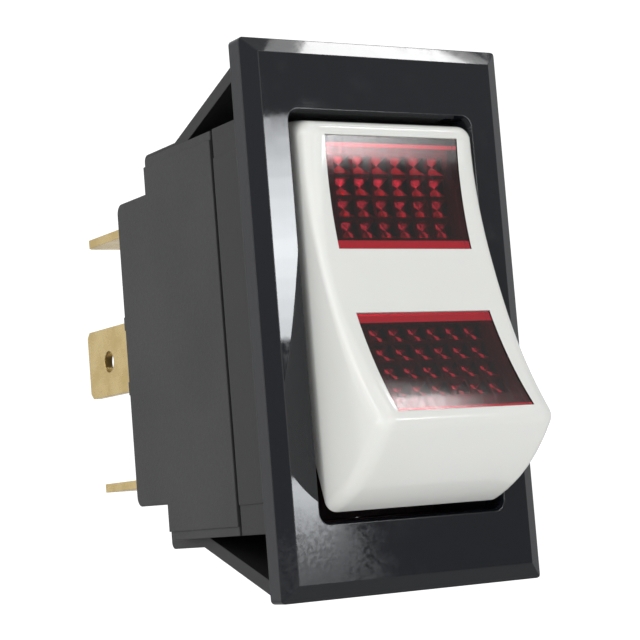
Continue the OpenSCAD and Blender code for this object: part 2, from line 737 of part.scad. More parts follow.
// Plunger along +Y from its inner end to its round tip
module plunger(side) color("#e8dfc8") on_rocker() translate([side * pole_x, 0, 0])
    rotate([-90, 0, 0]) {
        translate([0, 0, plunger_top])
            cylinder(h = plunger_reach - plunger_top, r = plunger_r);
        translate([0, 0, plunger_reach]) sphere(plunger_r);
    }

// Helix of round wire, as rings of points joined up
function helix_point(a, length) =
    [spring_r * cos(a), spring_r * sin(a), spring_wire_r + a / (360 * spring_turns) * length];

module plunger_spring(side) color("#b8bcc2") on_rocker() translate([side * pole_x, -sleeve_end, 0])
    rotate([-90, 0, 0]) {
        ring = 6;
        steps = 14 * spring_turns;
        rise = plunger_top + sleeve_end - 2 * spring_wire_r - 2 * touch_gap;
        points = [for (i = [0:steps], k = [0:ring - 1])
            let (a = i / steps * 360 * spring_turns, b = k * 360 / ring)
                helix_point(a, rise) + [0, 0, touch_gap]
                + spring_wire_r * [cos(b) * cos(a), cos(b) * sin(a), sin(b)]];
        sides = [for (i = [0:steps - 1], k = [0:ring - 1])
            [i * ring + k, i * ring + (k + 1) % ring, (i + 1) * ring + (k + 1) % ring, (i + 1) * ring + k]];
        ends = [[for (k = [ring - 1:-1:0]) k], [for (k = [0:ring - 1]) steps * ring + k]];
        polyhedron(points, concat(sides, ends));
    }

// ---- the nodes ----

bezel_frame();
base_housing();
insulator_plate();
rocker_cap();
rocker_carrier();
upper_lens();
lower_lens();
upper_lamp();
lower_lamp();
upper_resistor();
lower_resistor();
upper_lamp_lead();
lower_lamp_lead();
mirror([1, 0, 0]) throw_terminal();  // left_upper_terminal
mirror([1, 0, 0]) common_terminal();  // left_common_terminal
mirror([1, 0, 0]) mirror([0, 0, 1]) throw_terminal();  // left_lower_terminal
throw_terminal();  // right_upper_terminal
common_terminal();  // right_common_terminal
mirror([0, 0, 1]) throw_terminal();  // right_lower_terminal
mirror([1, 0, 0]) fixed_contact();  // left_upper_contact
mirror([1, 0, 0]) mirror([0, 0, 1]) fixed_contact();  // left_lower_contact
fixed_contact();  // right_upper_contact
mirror([0, 0, 1]) fixed_contact();  // right_lower_contact
contact_bar(-1);  // left_contact_bar
contact_bar(1);  // right_contact_bar
bar_tip(-1, true);  // left_bar_upper_tip
bar_tip(-1, false);  // left_bar_lower_tip
bar_tip(1, true);  // right_bar_upper_tip
bar_tip(1, false);  // right_bar_lower_tip
plunger(-1);  // left_plunger
plunger(1);  // right_plunger
plunger_spring(-1);  // left_plunger_spring
plunger_spring(1);  // right_plunger_spring
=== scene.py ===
import json
import math

import bmesh
import bpy
import numpy as np
from mathutils import Matrix, Vector


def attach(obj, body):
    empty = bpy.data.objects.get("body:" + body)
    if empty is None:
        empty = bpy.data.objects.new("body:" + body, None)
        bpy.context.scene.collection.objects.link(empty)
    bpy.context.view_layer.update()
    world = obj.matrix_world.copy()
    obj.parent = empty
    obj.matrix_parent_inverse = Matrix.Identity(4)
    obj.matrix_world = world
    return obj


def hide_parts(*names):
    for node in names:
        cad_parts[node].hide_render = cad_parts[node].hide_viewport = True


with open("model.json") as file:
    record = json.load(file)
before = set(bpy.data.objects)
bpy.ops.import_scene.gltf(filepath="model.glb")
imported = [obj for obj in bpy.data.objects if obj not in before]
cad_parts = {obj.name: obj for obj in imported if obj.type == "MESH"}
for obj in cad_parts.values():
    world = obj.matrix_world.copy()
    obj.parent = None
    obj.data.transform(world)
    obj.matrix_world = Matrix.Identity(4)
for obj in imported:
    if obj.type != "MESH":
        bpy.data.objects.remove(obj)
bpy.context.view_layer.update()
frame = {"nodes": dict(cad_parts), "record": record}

# ---------------------------------------------------------------- camera
# A long lens stands off the switch's front left corner, a little below its middle,
# and looks at it as it would be held in a panel. Axes are the camera's own, in the switch's frame.
eye = Vector((-0.09014, -0.13666, -0.01581))
sight_right = Vector((0.8530, -0.5158, -0.0795))
sight_up = Vector((0.0173, -0.1242, 0.9921))
focal_length_mm, film_width_mm = 112.14, 36.0
nearest, farthest = 0.01, 20.0

sight_back = sight_right.cross(sight_up).normalized()
sight_up = sight_back.cross(sight_right).normalized()
long_lens = bpy.data.cameras.new("camera")
long_lens.lens, long_lens.sensor_width = focal_length_mm, film_width_mm
long_lens.clip_start, long_lens.clip_end = nearest, farthest
camera = bpy.data.objects.new("camera", long_lens)
camera.matrix_world = Matrix((
    (sight_right.x, sight_up.x, sight_back.x, eye.x),
    (sight_right.y, sight_up.y, sight_back.y, eye.y),
    (sight_right.z, sight_up.z, sight_back.z, eye.z),
    (0, 0, 0, 1)))
bpy.context.scene.collection.objects.link(camera)
bpy.context.scene.camera = camera
bpy.context.scene.view_settings.view_transform = "Standard"


# ---------------------------------------------------------------- studio light
# A tall window stands at the right: its left pane lies over and under a dark rail, and its right one
# fades to the side. A small skylight is high at the right, and soft panels fill in from the front,
# the left and above.
def light_panel(name, azimuths, elevations, distance, radiance, colour=(1, 1, 1)):
    """Soft panel that faces the switch and spans two azimuths and two elevations, in degrees.
    Azimuth 0 is straight in front and grows to the right. The height is twice the distance times the
    tangent of half the span, the width is so too but times the cosine of the elevation, and the power
    is radiance times pi times the area."""
    azimuth, elevation = (math.radians(sum(span) / 2) for span in (azimuths, elevations))
    half_width, half_height = (math.radians(span[1] - span[0]) / 2 for span in (azimuths, elevations))
    out = Vector((math.sin(azimuth) * math.cos(elevation),
                  -math.cos(azimuth) * math.cos(elevation),
                  math.sin(elevation)))
    data = bpy.data.lights.new(name, "AREA")
    data.shape = "RECTANGLE"
    data.size = 2 * distance * math.tan(half_width) * math.cos(elevation)
    data.size_y = 2 * distance * math.tan(half_height)
    data.energy, data.color = radiance * math.pi * data.size * data.size_y, colour
    lamp = bpy.data.objects.new(name, data)
    lamp.location = out * distance
    lamp.rotation_mode = "QUATERNION"
    lamp.rotation_quaternion = out.to_track_quat("Z", "Y")
    bpy.context.scene.collection.objects.link(lamp)


# the left pane is made of level slats, each as bright as the window is at its height
daylight = (0.94, 0.97, 1)
pane_sides = (26.0, 31.3)
slats = np.concatenate([np.linspace(-3.4, 0.4, 11), np.linspace(5.0, 12.4, 12)])
glow_elevations = (-3.2, -2.4, -0.7, 0.3, 0.5, 4.9, 5.1, 8.0, 10.4, 12.4)
glow_levels = (1, 3, 11, 13, 0, 0, 15, 21, 15.5, 8.5)
for slat in zip(slats, slats[1:]):
    level = float(np.interp(sum(slat) / 2, glow_elevations, glow_levels))
    if level > 0:
        light_panel("left_window_pane", pane_sides, slat, 1.0, level, daylight)
# the right pane is made of upright strips a degree wide
for strip, level in enumerate((16, 11, 7, 4, 2)):
    left = pane_sides[1] + strip
    light_panel("right_window_pane", (left, left + 1), (3.0, 10.2), 1.0, level)
# every other panel is one piece: its azimuths, its elevations, its distance in metres and its radiance
light_panel("right_skylight", (70.0, 74.7), (52.8, 58.4), 1.0, 11.0)
light_panel("right_skylight_edge", (63.0, 75.5), (52.3, 59.4), 1.1, 2.5)
light_panel("front_key", (-32, 24), (-24, 26), 0.9, 0.85)
light_panel("left_fill", (-100, -45), (-20, 42), 1.0, 1.3)
light_panel("left_strip", (-84, -78), (0, 50), 1.1, 3.0)
light_panel("ceiling", (-40, 40), (62, 88), 1.0, 1.0)


# ---------------------------------------------------------------- room
# The room is grey and evenly lit, a little brighter towards its ceiling. Behind the switch it is white
# to the eye, and glass and polished surfaces show some of that white too.
class Field:
    """A shader value that changes from place to place, held as the socket that it comes from.
    Sums, differences and products with numbers or other fields add their Math nodes."""

    def __init__(self, socket):
        self.socket = socket

    @staticmethod
    def put(socket, value):
        """Links a field to a socket, or sets the socket's own number or colour."""
        if isinstance(value, Field):
            socket.id_data.links.new(value.socket, socket)
        else:
            socket.default_value = (*value, 1.0) if socket.type == "RGBA" else value

    @staticmethod
    def node(tree, kind, settings, inputs, output=0):
        """Adds one node: its settings first, then each socket's value or link, by name or place."""
        made = tree.nodes.new(kind)
        for key, value in settings.items():
            setattr(made, key, value)
        for key, value in inputs.items():
            Field.put(made.inputs[key], value)
        return Field(made.outputs[output])

    def beside(self, output):
        """Another output of the node that this field comes from."""
        return Field(self.socket.node.outputs[output])

    def worked_out(self, operation, first, second=0.0):
        """The outcome of one sum on two values."""
        return Field.node(self.socket.id_data, "ShaderNodeMath", {"operation": operation}, {0: first, 1: second})

    def __add__(self, other):
        return self.worked_out("ADD", self, other)

    def __sub__(self, other):
        return self.worked_out("SUBTRACT", self, other)

    def __rsub__(self, other):
        return self.worked_out("SUBTRACT", other, self)

    def __mul__(self, other):
        return self.worked_out("MULTIPLY", self, other)

    __radd__, __rmul__ = __add__, __mul__

    def size(self):
        """This value without its sign."""
        return self.worked_out("ABSOLUTE", self)

    def most(self, other):
        """The greater of two values."""
        return self.worked_out("MAXIMUM", self, other)

    def step(self, low, high, start=0.0, end=1.0):
        """Smooth change from start to end as this goes from low to high."""
        return Field.node(self.socket.id_data, "ShaderNodeMapRange", {"interpolation_type": "SMOOTHSTEP"},
                          {0: self, 1: low, 2: high, 3: start, 4: end})

    def mix(self, low, high):
        """The colour low where this is 0, high where it is 1."""
        return Field.node(self.socket.id_data, "ShaderNodeMix", {"data_type": "RGBA"},
                          {0: self, 6: low, 7: high}, output=2)


world = bpy.data.worlds.new("room")
bpy.context.scene.world = world
world.use_nodes = True
sky = world.node_tree
sky.nodes.remove(sky.nodes["Background"])
ray = Field.node(sky, "ShaderNodeLightPath", {}, {})
way = Field.node(sky, "ShaderNodeTexCoord", {}, {}, output="Generated")
height = Field.node(sky, "ShaderNodeSeparateXYZ", {}, {0: way}, output="Z")
behind = height.beside("Y").step(-0.1, 0.4)
white_in_gloss = 0.4
shiny = ray.beside("Is Glossy Ray").most(ray.beside("Is Transmission Ray"))
shows_white = ray.beside("Is Camera Ray").most(shiny * behind * white_in_gloss)
cool_grey, plain_white = (0.98, 0.99, 1), (1, 1, 1)
room_low, room_high, room_white = (
    Field.node(sky, "ShaderNodeBackground", {}, {"Color": colour, "Strength": strength})
    for colour, strength in ((cool_grey, 0.2), (cool_grey, 0.52), (plain_white, 1.0)))
room_grey = Field.node(sky, "ShaderNodeMixShader", {}, {0: height.step(-0.35, 0.5), 1: room_low, 2: room_high})
whole_room = Field.node(sky, "ShaderNodeMixShader", {}, {0: shows_white, 1: room_grey, 2: room_white})
Field.put(sky.nodes["World Output"].inputs["Surface"], whole_room)


# ---------------------------------------------------------------- backdrop
# One wide white sweep of paper lies under the switch and bends up behind it on a broad radius.
# It stands well clear, so that only a faint shadow of the switch reaches it.
class Finish:
    """One finish: a Principled shader, and the fields that vary it.
    Places are measured in millimetres over the piece, from the frame's origin."""

    def __init__(self, name, **constants):
        self.material = bpy.data.materials.new(name)
        self.material.use_nodes = True
        self.tree = self.material.node_tree
        self.shader = self.tree.nodes["Principled BSDF"]
        for key, value in constants.items():
            self.set(key.replace("_", " "), value)
        metres = self.add("ShaderNodeTexCoord", output="Object")
        self.mm = self.add("ShaderNodeVectorMath", {"operation": "SCALE"}, {0: metres, "Scale": 1000.0})
        self.x = self.add("ShaderNodeSeparateXYZ", {}, {0: self.mm}, output="X")
        self.y, self.z = self.x.beside("Y"), self.x.beside("Z")

    def add(self, kind, settings={}, inputs={}, output=0):
        """Adds one node to this finish."""
        return Field.node(self.tree, kind, settings, inputs, output)

    def set(self, name, value):
        """Gives the shader's socket a number, a colour or a field."""
        Field.put(self.shader.inputs[name], value)

    def stretched(self, x, y, z):
        """Places scaled along each axis, so that a grain runs one way."""
        return self.add("ShaderNodeVectorMath", {"operation": "MULTIPLY"}, {0: self.mm, 1: (x, y, z)})

    def painted(self, name):
        """A mesh's own layer of values from 0 to 1."""
        return self.add("ShaderNodeAttribute", {"attribute_name": name}, output="Fac")

    def noise(self, scale, detail=2.0, roughness=0.5, at=None):
        """Cloudy noise from 0 to 1, with scale features to the millimetre."""
        return self.add("ShaderNodeTexNoise", {}, {
            "Vector": at or self.mm, "Scale": scale, "Detail": detail, "Roughness": roughness})

    def patches(self, scale, detail, one, other, at=None):
        """Soft patches of two colours or two numbers, which meet over the middle of a noise."""
        share = self.noise(scale, detail, at=at)
        if isinstance(one, tuple):
            return share.step(0.3, 0.7).mix(one, other)
        return share.step(0.3, 0.7, one, other)

    def edges(self, radius):
        """Normal of an edge rounded to a radius in millimetres."""
        return self.add("ShaderNodeBevel", {"samples": 6}, {"Radius": radius / 1000})

    def relief(self, height, depth, rounded=None):
        """Bump whose full height is depth millimetres, laid over a rounded edge where there is one."""
        under = {"Normal": rounded} if rounded else {}
        self.set("Normal", self.add("ShaderNodeBump", {}, {
            "Strength": 1.0, "Distance": depth / 1000, "Height": height, **under}))

    def lay_on(self, *names):
        """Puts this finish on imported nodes, in place of the plain one that they came with."""
        for name in names:
            mesh = frame["nodes"][name].data
            mesh.materials.clear()
            mesh.materials.append(self.material)


def sweep_profile(floor_z, wall_y, bend, front_y, top_z):
    """Line of the sweep in Y and Z: a flat floor, a quarter circle of radius bend, then an upright wall."""
    angle = np.linspace(0, np.pi / 2, 24)
    y = np.concatenate([[front_y], wall_y - bend + bend * np.sin(angle), [wall_y]])
    z = np.concatenate([[floor_z], floor_z + bend - bend * np.cos(angle), [top_z]])
    return y, z


def quads_of(index):
    """Corners of the square faces between neighbours on a grid of point numbers, rows by columns by 4."""
    return np.stack([index[:-1, :-1], index[:-1, 1:], index[1:, 1:], index[1:, :-1]], -1)


def smooth_mesh(name, points, quads):
    """Mesh of square faces, shaded as one smooth surface."""
    mesh = bpy.data.meshes.new(name)
    mesh.from_pydata(points, [], quads.tolist())
    mesh.polygons.foreach_set("use_smooth", np.ones(len(mesh.polygons), bool))
    return mesh


def piece(name, mesh, finish):
    """Object at the frame's origin, with one finish."""
    mesh.materials.append(finish.material)
    thing = bpy.data.objects.new(name, mesh)
    bpy.context.scene.collection.objects.link(thing)
    return thing


sweep_y, sweep_z = sweep_profile(floor_z=-0.09, wall_y=1.3, bend=0.5, front_y=-1.6, top_z=2.2)
sweep_x = np.linspace(-2.2, 2.2, 3)
sweep_points = np.stack(np.broadcast_arrays(sweep_x[:, None], sweep_y, sweep_z), -1)
sweep_quads = quads_of(np.arange(sweep_points[..., 0].size).reshape(sweep_points.shape[:2]))

# The paper is white to the eye, more so on its wall, and its floor throws a little light up at the switch.
paper = Finish("studio_paper", Base_Color=(0.6, 0.6, 0.6), Roughness=0.9, Emission_Strength=1.0)
paper.relief(paper.noise(0.4, 3), 0.01)
seen = paper.add("ShaderNodeLightPath", output="Is Camera Ray")
glossy, through, diffuse = (seen.beside("Is " + kind + " Ray") for kind in ("Glossy", "Transmission", "Diffuse"))
wall = paper.y.step(150, 700)
wall_white, wall_in_gloss, floor_white, floor_bounce = 0.75, 0.3, 0.6, 0.38
wall_glow = wall * (seen * wall_white).most(glossy.most(through) * wall_in_gloss)
paper.set("Emission Color", wall_glow.most(seen * floor_white).most(diffuse * floor_bounce))
sweep = smooth_mesh("studio_floor", sweep_points.reshape(-1, 3), sweep_quads.reshape(-1, 4))
studio_floor = piece("studio_floor", sweep, paper)

# ---------------------------------------------------------------- bezel and frame
# One black moulding: the flat bezel with its bevelled rim, the walls behind it, the straps and the sprung wings.
# The mould is polished where the bezel shows, and spark-eroded to a fine matt grain behind the panel.
# The low left corner of the bezel is rubbed a little dull from handling.
polished_black, matt_black, matt_roughness = (0.008, 0.009, 0.012), (0.02, 0.02, 0.021), 0.5
frame_black = Finish("frame_black", IOR=1.5)
behind_panel = frame_black.y.step(-0.15, 0.05)
low_left = frame_black.z.step(-20, -14, 1, 0) * frame_black.x.step(-10, 1, 1, 0)
rubbed = low_left * frame_black.noise(2.5, 5, 0.7).step(0.35, 0.65, 0.05, 0.2)
haze = frame_black.noise(0.5, 4, 0.6).step(0.4, 0.75, 0.02, 0.07) + rubbed
grain = frame_black.noise(9.0) * behind_panel + frame_black.noise(0.25) * 0.05
frame_black.set("Base Color", behind_panel.mix(polished_black, matt_black))
frame_black.set("Roughness", haze.most(behind_panel * matt_roughness))
frame_black.relief(grain, 0.02, frame_black.edges(0.12))
frame_black.lay_on("bezel_frame")

# ---------------------------------------------------------------- base
# The black base holds the terminals and the contacts. It is moulded in a harder, duller material than the frame.
# Its faces carry a fine spark-eroded grain, and its straight edges have the small radius of the mould.
base_black = Finish("base_black", IOR=1.5)
base_black.set("Base Color", base_black.patches(0.12, 3, (0.029, 0.029, 0.029), (0.036, 0.036, 0.036)))
base_black.set("Roughness", base_black.patches(3, 3, 0.5, 0.54))
base_black.relief(base_black.noise(8.0, 3), 0.022, base_black.edges(0.18))
base_black.lay_on("base_housing")

# ---------------------------------------------------------------- insulator
# The plate between the lamps and the contacts is punched from vulcanised fibre sheet.
# It is clamped between the frame and the base, and its dark edge shows as a line round the body.
fibre = Finish("fibre_sheet", Roughness=0.7)
fibres_along = fibre.noise(3.0, 4, at=fibre.stretched(1, 1, 0.15))
fibre.set("Base Color", fibres_along.step(0.35, 0.65).mix((0.008, 0.008, 0.008), (0.02, 0.019, 0.018)))
fibre.relief(fibre.noise(6, 3), 0.015)
fibre.lay_on("insulator_plate")

# ---------------------------------------------------------------- carrier
# The carrier is a smooth black moulding that snaps into the back of the rocker's cap.
# It has the trunnions that the rocker turns on, and the sleeves that guide the plungers.
carrier_black = Finish("carrier_black", Roughness=0.35)
carrier_black.set("Base Color", carrier_black.patches(0.2, 2, (0.012, 0.012, 0.013), (0.02, 0.02, 0.022)))
carrier_black.relief(carrier_black.noise(5), 0.008, carrier_black.edges(0.1))
carrier_black.lay_on("rocker_carrier")

# ---------------------------------------------------------------- rocker
# The paddle is moulded in a glossy warm white, hollow behind, with two square windows left open in its face.
# Its long edges are rounded, a little at the middle and broadly at its two tips. It snaps over the carrier.
# Sizes are in millimetres in the rocker's own frame: Y and Z with the pivot at the origin and the face level.
tilt = next(joint for joint in frame["record"]["behaviour"]["joints"] if joint["name"] == "rocker_tilt")
pivot = np.array(tilt["pos_m"])
resting_tilt = math.radians(tilt["range_deg"][0] - tilt["range_deg"][1]) / 2
# the face is an arc about an axis in front of it, and the ends are arcs about the pivot
face_axis, face_radius, sweep_radius, skirt = -40.5, 33.0, 16.3, 0.6
cap_left, cap_right = -8.25, 8.6
face_thickness, wall_thickness = 2.1, 1.3
tip_radius, inner_tip_radius, inner_rim, least_tip_radius = 1.4, 0.3, 0.3, 0.12
# the last row of the face lies just past the outer ends of the windows
last_row = 12.24
window_half_w, window_in, window_out = 6.44, 2.79, 12.01
light_half_w, outer_ledge, upper_inner_ledge, lower_inner_ledge = 6.38, 0.35, 1.15, 0.65
lens_back, trunnion_slot = 1.3, 1.65
# how finely the cap is divided, from the skirt over the ends to the face, and across it
end_rows, tip_rows, middle_rows, window_rows, last_rows = 11, 9, 6, 25, 4
side_columns, rim_columns, margin_columns, window_columns = 5, 10, 5, 25


def cap_outline(face_in, end_in, tip_r, heights):
    """Y and Z of the cap's outline in front, row by row from its lower end to its upper one.
    Each array is rows by insets: how far the outline is set in from the face and from the ends, and the
    tip's radius. An end row lies on the arc about the pivot, a tip row on the tip's circle, which touches
    that arc and the face's, and a face row on the arc about the face's axis."""
    face_r, end_r = face_radius + face_in, sweep_radius - end_in
    tip_y = ((face_r + tip_r) ** 2 - (end_r - tip_r) ** 2 - face_axis ** 2) / (-2 * face_axis)
    tip_z = np.sqrt((end_r - tip_r) ** 2 - tip_y ** 2)
    reach = face_r * tip_z / np.hypot(tip_y - face_axis, tip_z)
    top = np.maximum(reach, window_out + 0.05)

    share = np.linspace(0, 1, end_rows)
    faces = len(heights)
    end_share = np.concatenate([share, np.ones(faces + 2 * tip_rows), share[::-1]])[:, None]
    tip_share = np.concatenate([0 * share, share[1:-1], np.ones(faces), share[-2:0:-1], 0 * share])[:, None]
    row_heights = np.concatenate([-np.ones(end_rows + tip_rows), heights, np.ones(end_rows + tip_rows)])[:, None]
    on_end, on_face = tip_share == 0, tip_share == 1

    skirt_angle, tip_angle = np.arccos(skirt / end_r), np.arctan2(tip_z, tip_y)
    end_angle = skirt_angle + (tip_angle - skirt_angle) * end_share
    last_angle = np.pi + np.arcsin((tip_z - top) / tip_r)
    angle = tip_angle + (last_angle - tip_angle) * tip_share

    size = np.abs(row_heights)
    stretch = (size - window_out) / (np.abs(heights).max() - window_out)
    size = np.where(size <= window_out, size, window_out + stretch * (top - window_out))
    on_tip = tip_y - np.sqrt(np.maximum(tip_r ** 2 - (size - tip_z) ** 2, 0))
    face_y = np.where(size <= reach, face_axis + np.sqrt(face_r ** 2 - size ** 2), on_tip)

    y = np.select([on_end, on_face], [end_r * np.cos(end_angle), face_y], tip_y + tip_r * np.cos(angle))
    z = np.select([on_end, on_face], [end_r * np.sin(end_angle), size], tip_z + tip_r * np.sin(angle))
    return np.stack([y, z * np.sign(row_heights)], -1)


def cap_surface(half_w, face_in, end_in, tip_r, rims, window_half, heights):
    """Grid over the cap: each row goes up one side, round the rim, across the face and down the other side.
    rims is the rim's radius on each row. Round the rim, x is the half width less the radius times one less
    the sine of the turn, and the outline is set in by the radius times one less the cosine of the turn."""
    turn = np.linspace(np.pi / 2, 0, rim_columns)
    set_in = rims[:, None] * (1 - np.cos(turn))
    outlines = cap_outline(face_in + set_in, end_in + set_in, np.maximum(tip_r - set_in, least_tip_radius), heights)
    # each side runs back to the skirt, or only to the front of the slot that lets the trunnion out
    low = outlines[:, :1]
    foot_y = np.where(np.abs(low[..., 1]) < trunnion_slot, -trunnion_slot, skirt)
    foot = np.stack([np.maximum(foot_y, low[..., 0]), low[..., 1]], -1)
    drop = np.linspace(1, 0, side_columns + 1)[:-1]
    side = low + (foot - low) * drop[None, :, None]
    # across the cap: the side and the rim, a plain margin, the window's width, and the same again
    middle = (cap_right + cap_left) / 2
    rim_x = half_w - rims[:, None] * (1 - np.sin(turn))
    side_x = np.hstack([np.full((len(rims), len(drop)), half_w), rim_x])
    window_left, window_right = -window_half - middle, window_half - middle
    inner = (half_w - rims)[:, None]
    margin = np.arange(1, margin_columns + 1) / (margin_columns + 1)
    window_x = np.linspace(window_left, window_right, window_columns)
    face_x = np.hstack([-inner + (window_left + inner) * margin,
                        np.broadcast_to(window_x, (len(rims), len(window_x))),
                        window_right + (inner - window_right) * margin])
    x = np.hstack([-side_x, face_x, side_x[:, ::-1]]) + middle
    face = np.repeat(outlines[:, -1:], face_x.shape[1], 1)
    both = np.concatenate([side, outlines], 1)
    return np.concatenate([x[..., None], np.concatenate([both, face, both[:, ::-1]], 1)], -1)


def cap_heights(window_foot, window_top):
    """Heights of the rows over the face, the same below the middle as above it: even steps to the trunnion
    slot, one row past its edge, even steps up the window from its foot to its top, and even steps to the end."""
    upper = np.concatenate([
        np.linspace(0, trunnion_slot - 0.05, middle_rows), [trunnion_slot + 0.05],
        np.linspace(window_foot, window_top, window_rows),
        np.linspace(window_top, last_row, last_rows)[1:]])
    return np.concatenate([-upper[:0:-1], upper])


def cap_rims(heights, middle_rim, window_rim, tip_rim, skirt_rim):
    """Rim radius on each row. Over the face it goes from middle_rim to window_rim with a power of 1.3 of the
    height, and over the ends from tip_rim down to skirt_rim with a power of 0.8 of the row's share."""
    ease = np.clip((np.abs(heights) - 1.0) / (window_out - 1.0), 0, 1)
    face = middle_rim + (window_rim - middle_rim) * ease ** 1.3
    back = skirt_rim + (tip_rim - skirt_rim) * np.linspace(0, 1, end_rows + tip_rows) ** 0.8
    return np.concatenate([back, face, back[::-1]])


def to_resting(points):
    """Points in the rocker's own frame, in millimetres, turned about the pivot to the resting tilt, put in
    metres and moved to the pivot's place."""
    cosine, sine = math.cos(resting_tilt), math.sin(resting_tilt)
    y = points[..., 1] * cosine - points[..., 2] * sine
    z = points[..., 1] * sine + points[..., 2] * cosine
    return np.stack([points[..., 0], y, z], -1) / 1000 + pivot


def ring_of(index, row_range, column_range):
    """Point numbers round a block of a grid, in order: along its first row, up its last column, back along
    its last row and down its first column."""
    (r0, r1), (c0, c1) = row_range, column_range
    return np.concatenate([index[r0, c0:c1], index[r0:r1, c1], index[r1, c1:c0:-1], index[r1:r0:-1, c0]])


def strip_between(first, second):
    """Quads that join two rings of as many points, each from a pair on one ring to the same pair on the other."""
    return np.stack([first, np.roll(first, -1), np.roll(second, -1), second], -1)


# The cap is a shell: its outside, its inside, and a strip that joins them along the skirt.
outer_heights = cap_heights(window_in, window_out)
inner_heights = np.where(outer_heights > 0,
                         cap_heights(window_in + upper_inner_ledge, window_out - outer_ledge),
                         cap_heights(window_in + lower_inner_ledge, window_out - outer_ledge))
half_width = (cap_right - cap_left) / 2
outer_rims = cap_rims(outer_heights, middle_rim=0.7, window_rim=1.6, tip_rim=1.6, skirt_rim=0.9)
inner_rims = np.full(len(outer_rims), inner_rim)
outside = cap_surface(half_width, 0, 0, tip_radius, outer_rims, window_half_w, outer_heights)
inside = cap_surface(half_width - wall_thickness, face_thickness, wall_thickness, inner_tip_radius,
                     inner_rims, light_half_w, inner_heights)
rows, columns = outside.shape[:2]
count = rows * columns
outside, inside = outside.reshape(-1, 3), inside.reshape(-1, 3)
grid = np.arange(count).reshape(rows, columns)
first_face_row = end_rows + tip_rows
window_ends = [first_face_row + np.flatnonzero(np.isclose(outer_heights, side * window_in)
                                               | np.isclose(outer_heights, side * window_out)) for side in (1, -1)]
window_sides = ((columns - window_columns) // 2, (columns + window_columns) // 2 - 1)
closed = np.ones((rows - 1, columns - 1), bool)
for ends in window_ends:
    closed[slice(*ends), slice(*window_sides)] = False
shell_quads = quads_of(grid)[closed]
skirt_edge = ring_of(grid, (0, rows - 1), (0, columns - 1))
cap_points = [outside, inside]
cap_quads = [shell_quads, shell_quads[:, ::-1] + count, strip_between(skirt_edge, skirt_edge + count)]
# the inside faces are marked here for painted shade, coloured near black below
painted_shade_faces = [np.zeros(len(shell_quads)), np.ones(len(shell_quads)), np.zeros(len(skirt_edge))]
painted_glow_faces = [np.zeros(sum(len(part) for part in cap_quads))]

# Each window is a pocket with upright sides, a ledge for the lens as deep as the lens's back, and a narrower
# opening through the rest of the face. The cap's inside and the left and right of each pocket are coloured near
# black as painted shade, and the ledge's two ends get a faint painted glow in place of the light that comes through
# the lens.
for ends in window_ends:
    hole = ring_of(grid, ends, window_sides)
    rim, light = outside[hole], inside[hole]
    chain = [hole]
    for flat in (rim, light):
        seat = flat.copy()
        seat[:, 1] = face_axis + np.sqrt((face_radius + lens_back) ** 2 - flat[:, 2] ** 2)
        chain.append(sum(len(part) for part in cap_points) + np.arange(len(hole)))
        cap_points.append(seat)
    chain.append(hole + count)
    cap_quads += [strip_between(*pair)[:, ::-1] for pair in zip(chain, chain[1:])]
    at_side = np.isclose(np.abs(rim[:, 0]), window_half_w, atol=0.01)
    at_side = (at_side & np.roll(at_side, -1)).astype(float)
    painted_shade_faces += [at_side, at_side, np.ones(len(hole))]
    # the ledge's two ends are marked for a painted glow that stands in for light through the lens
    painted_glow_faces += [np.zeros(len(hole)), 1 - at_side, np.zeros(len(hole))]

cap_mesh = smooth_mesh("rocker_paddle", to_resting(np.vstack(cap_points)), np.vstack(cap_quads))
for layer, values in (("painted_shade", painted_shade_faces), ("ledge", painted_glow_faces)):
    cap_mesh.attributes.new(layer, "FLOAT", "FACE").data.foreach_set("value", np.concatenate(values))
shell = bmesh.new()
shell.from_mesh(cap_mesh)
bmesh.ops.remove_doubles(shell, verts=shell.verts, dist=1e-7)
bmesh.ops.recalc_face_normals(shell, faces=shell.faces)
shell.to_mesh(cap_mesh)
shell.free()
cap_mesh.set_sharp_from_angle(angle=math.radians(40))

# the near black is painted shade for the cap's inside and the pockets' sides
warm_white, warmer_white, painted_shade_black = (0.785, 0.79, 0.755), (0.765, 0.77, 0.73), (0.03, 0.028, 0.027)
# strength of the painted glow on the ledge's ends, standing in for light through the lens
painted_glow_level = 0.4
rocker_white = Finish("rocker_white", IOR=1.5, Subsurface_Weight=0.06, Subsurface_Scale=0.0008, Emission_Strength=1.0)
bare = rocker_white.patches(0.08, 2, warm_white, warmer_white)
# painted shade: the cap's inside and the pockets' sides are coloured near black
rocker_white.set("Base Color", rocker_white.painted("painted_shade").mix(bare, painted_shade_black))
# painted light: the ledge's two ends glow faintly as if lit through the lens
rocker_white.set("Emission Color", rocker_white.painted("ledge") * painted_glow_level)
rocker_white.set("Roughness", rocker_white.patches(0.6, 3, 0.06, 0.11))
rocker_white.relief(rocker_white.noise(0.35), 0.012, rocker_white.edges(0.1))
rocker_paddle = piece("rocker_paddle", cap_mesh, rocker_white)
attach(rocker_paddle, "rocker")
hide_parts("rocker_cap")

# ---------------------------------------------------------------- windows
# Each window is a curved red acrylic plate, smooth in front, with rows of small pyramids moulded on its back.
# It lies on the ledge in the cap and is fixed there with solvent. The flow in the mould left faint streaks on it.
lens_red = Finish("lens_red", Base_Color=(0.58, 0.02, 0.042), IOR=1.49, Transmission_Weight=1.0)
lens_red.set("Roughness", lens_red.patches(1.2, 3, 0.07, 0.13, at=lens_red.stretched(2.5, 2.5, 0.3)))
lens_red.relief(lens_red.noise(0.3), 0.005)
lens_red.lay_on("upper_lens", "lower_lens")

